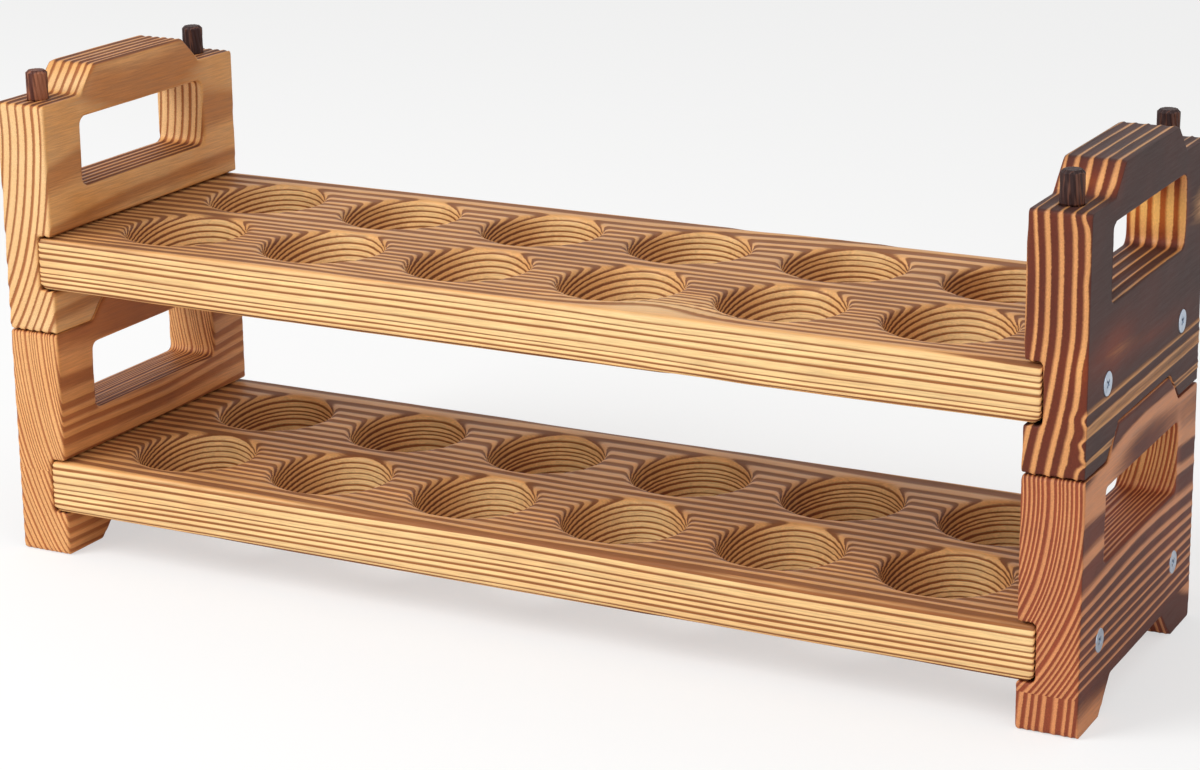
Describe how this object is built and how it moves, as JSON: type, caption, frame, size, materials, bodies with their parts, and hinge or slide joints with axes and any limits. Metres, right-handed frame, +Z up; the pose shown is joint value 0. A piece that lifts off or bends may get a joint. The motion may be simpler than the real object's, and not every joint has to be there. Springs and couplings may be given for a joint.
{
  "type": "wooden egg holder",
  "caption": "Stacking wooden egg rack: end boards with handholds carry pierced shelves for eggs; the upper tier lifts off the lower one on dowel pins.",
  "frame": {"origin": "centre of the lower tier's footprint, on the surface that the feet stand on", "axes": "+X along the shelves towards the right end board, +Y from the front to the back, +Z up"},
  "size_m": [0.36, 0.105, 0.1583],
  "materials": {
    "end_board_wood": "charred, wire-brushed and oiled softwood",
    "shelf_wood": "charred, wire-brushed and oiled softwood",
    "pin_wood": "charred fluted dowel",
    "zinc": "zinc-plated steel"
  },
  "bodies": {
    "lower_tier": {"lower_left_end": "end_board_wood", "lower_right_end": "end_board_wood", "lower_shelf": "shelf_wood", "lower_pin_front_left": "pin_wood", "lower_pin_front_right": "pin_wood", "lower_pin_back_left": "pin_wood", "lower_pin_back_right": "pin_wood", "lower_screw_front_left": "zinc", "lower_screw_front_right": "zinc", "lower_screw_back_left": "zinc", "lower_screw_back_right": "zinc"},
    "upper_tier": {"upper_left_end": "end_board_wood", "upper_right_end": "end_board_wood", "upper_shelf": "shelf_wood", "upper_pin_front_left": "pin_wood", "upper_pin_front_right": "pin_wood", "upper_pin_back_left": "pin_wood", "upper_pin_back_right": "pin_wood", "upper_screw_front_left": "zinc", "upper_screw_front_right": "zinc", "upper_screw_back_left": "zinc", "upper_screw_back_right": "zinc"}
  },
  "joints": [
    {"name": "upper_tier_lift", "type": "slide", "parent": "lower_tier", "child": "upper_tier", "axis": [0, 0, 1], "range_m": [0, 0.06]}
  ]
}
